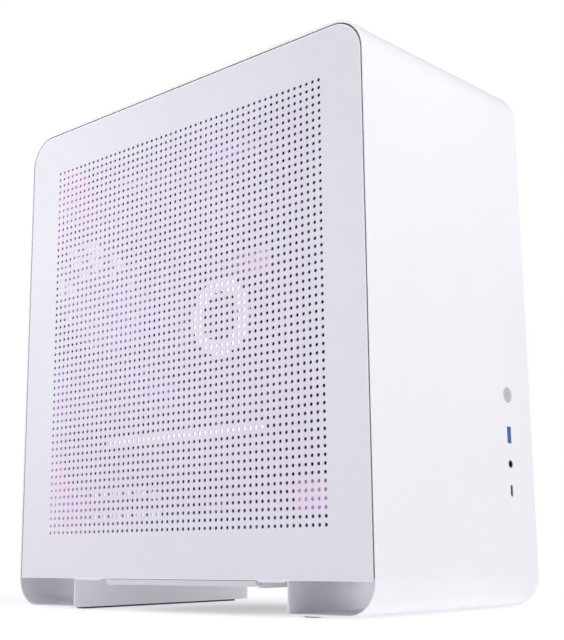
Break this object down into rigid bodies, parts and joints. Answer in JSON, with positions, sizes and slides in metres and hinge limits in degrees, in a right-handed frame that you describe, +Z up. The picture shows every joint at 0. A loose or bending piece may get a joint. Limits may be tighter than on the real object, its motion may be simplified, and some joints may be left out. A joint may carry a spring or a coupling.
{
  "type": "desktop computer tower",
  "caption": "White desktop computer tower with a perforated left side panel, rounded folded-sheet body on hollow feet, front ports and a complete set of internal parts.",
  "frame": {"origin": "on the surface it stands on, under the middle of its outline", "axes": "+X to the right seen from the front, +Y to the rear, +Z up; the ports and button face -Y and the perforated panel faces -X"},
  "size_m": [0.206, 0.397, 0.428],
  "materials": {
    "shell_white": "fine textured powder coat, white",
    "panel_white": "fine textured powder coat, white",
    "inner_white": "white paint on folded steel",
    "inner_dark": "satin black paint on folded steel",
    "graphite_plastic": "satin graphite",
    "rear_blades": "milky plastic that lets daylight through",
    "clip_plastic": "white nylon",
    "pad_rubber": "matte",
    "filter_plastic": "satin light grey",
    "filter_net": "fine nylon net",
    "zinc_steel": "zinc plated",
    "pcb": "solder mask",
    "ports_metal": "nickel plated",
    "socket_plastic": "black nylon",
    "heatsink_alu": "anodised silver",
    "dark_alu": "black coated fins",
    "light_diffuser": "milky diffuser",
    "hose_rubber": "dark braided sleeve",
    "blade_plastic": "translucent milky plastic",
    "cable_sleeve": "woven sleeve",
    "usb_blue": "satin blue",
    "black_plastic": "satin",
    "button_white": "satin",
    "drive_alu": "cast, machined lid"
  },
  "bodies": {
    "case": {"outer_shell": "shell_white", "front_plate": "shell_white", "floor_plate": "inner_white", "side_frames": "inner_white", "panel_clips": "clip_plastic", "foot_pads": "pad_rubber", "filter_rails": "inner_white", "board_tray": "inner_dark", "board_standoffs": "zinc_steel", "motherboard": "pcb", "io_ports": "ports_metal", "io_shield": "zinc_steel", "cpu_socket": "ports_metal", "board_slots": "socket_plastic", "ram_module_a": "graphite_plastic", "ram_module_b": "graphite_plastic", "power_sockets": "socket_plastic", "board_heatsinks": "heatsink_alu", "pump_block": "graphite_plastic", "pump_ring": "light_diffuser", "coolant_hoses": "hose_rubber", "radiator": "dark_alu", "top_fan_front_frame": "black_plastic", "top_fan_rear_frame": "black_plastic", "rear_fan_frame": "black_plastic", "bottom_fan_frame": "black_plastic", "gpu_board": "pcb", "gpu_heatsink": "heatsink_alu", "gpu_shroud": "graphite_plastic", "gpu_backplate": "dark_alu", "gpu_bracket": "zinc_steel", "gpu_light_bar": "light_diffuser", "slot_covers": "inner_white", "psu_bracket": "inner_dark", "psu_case": "inner_dark", "power_inlet": "black_plastic", "power_cables": "cable_sleeve", "front_io_board": "pcb", "usb_a_port": "ports_metal", "usb_a_tongue": "usb_blue", "usb_c_port": "ports_metal", "audio_jack": "black_plastic", "power_switch": "black_plastic", "hard_drive": "drive_alu", "drive_bracket": "inner_dark", "case_screws": "zinc_steel"},
    "power_button": {"power_button": "button_white"},
    "left_panel": {"left_panel": "panel_white", "left_panel_rim": "panel_white"},
    "right_panel": {"right_panel": "panel_white"},
    "dust_filter": {"filter_frame": "filter_plastic", "filter_mesh": "filter_net"},
    "rear_fan": {"rear_fan_rotor": "rear_blades"},
    "top_fan_front": {"top_fan_front_rotor": "blade_plastic"},
    "top_fan_rear": {"top_fan_rear_rotor": "blade_plastic"},
    "bottom_fan": {"bottom_fan_rotor": "blade_plastic"},
    "gpu_fan_a": {"gpu_rotor_a": "blade_plastic"},
    "gpu_fan_b": {"gpu_rotor_b": "blade_plastic"},
    "psu_fan": {"psu_rotor": "black_plastic"},
    "psu_rocker": {"rocker_switch": "black_plastic"}
  },
  "joints": [
    {"name": "power_button_travel", "type": "slide", "parent": "case", "child": "power_button", "axis": [0, 1, 0], "range_m": [0, 0.0009], "stiffness_N_per_m": 1200, "springref_m": -0.0008},
    {"name": "left_panel_lift_off", "type": "slide", "parent": "case", "child": "left_panel", "axis": [-1, 0, 0], "range_m": [0, 0.12]},
    {"name": "right_panel_lift_off", "type": "slide", "parent": "case", "child": "right_panel", "axis": [1, 0, 0], "range_m": [0, 0.12]},
    {"name": "dust_filter_slide", "type": "slide", "parent": "case", "child": "dust_filter", "axis": [-1, 0, 0], "range_m": [0, 0.17]},
    {"name": "rear_fan_spin", "type": "hinge", "parent": "case", "child": "rear_fan", "pos_m": [-0.031, 0.184, 0.287], "axis": [0, -1, 0], "continuous": true},
    {"name": "top_fan_front_spin", "type": "hinge", "parent": "case", "child": "top_fan_front", "pos_m": [-0.02, -0.024, 0.387], "axis": [0, 0, 1], "continuous": true},
    {"name": "top_fan_rear_spin", "type": "hinge", "parent": "case", "child": "top_fan_rear", "pos_m": [-0.02, 0.096, 0.387], "axis": [0, 0, 1], "continuous": true},
    {"name": "bottom_fan_spin", "type": "hinge", "parent": "case", "child": "bottom_fan", "pos_m": [-0.02, -0.0045, 0.04], "axis": [0, 0, 1], "continuous": true},
    {"name": "gpu_fan_a_spin", "type": "hinge", "parent": "case", "child": "gpu_fan_a", "pos_m": [0, -0.0052, 0.119], "axis": [0, 0, -1], "continuous": true},
    {"name": "gpu_fan_b_spin", "type": "hinge", "parent": "case", "child": "gpu_fan_b", "pos_m": [0, 0.1298, 0.119], "axis": [0, 0, -1], "continuous": true},
    {"name": "psu_fan_spin", "type": "hinge", "parent": "case", "child": "psu_fan", "pos_m": [-0.009, -0.117, 0.32], "axis": [0, 1, 0], "continuous": true},
    {"name": "psu_rocker_tilt", "type": "hinge", "parent": "case", "child": "psu_rocker", "pos_m": [0.04, -0.148, 0.394], "axis": [0, 1, 0], "range_deg": [-14, 0]}
  ]
}
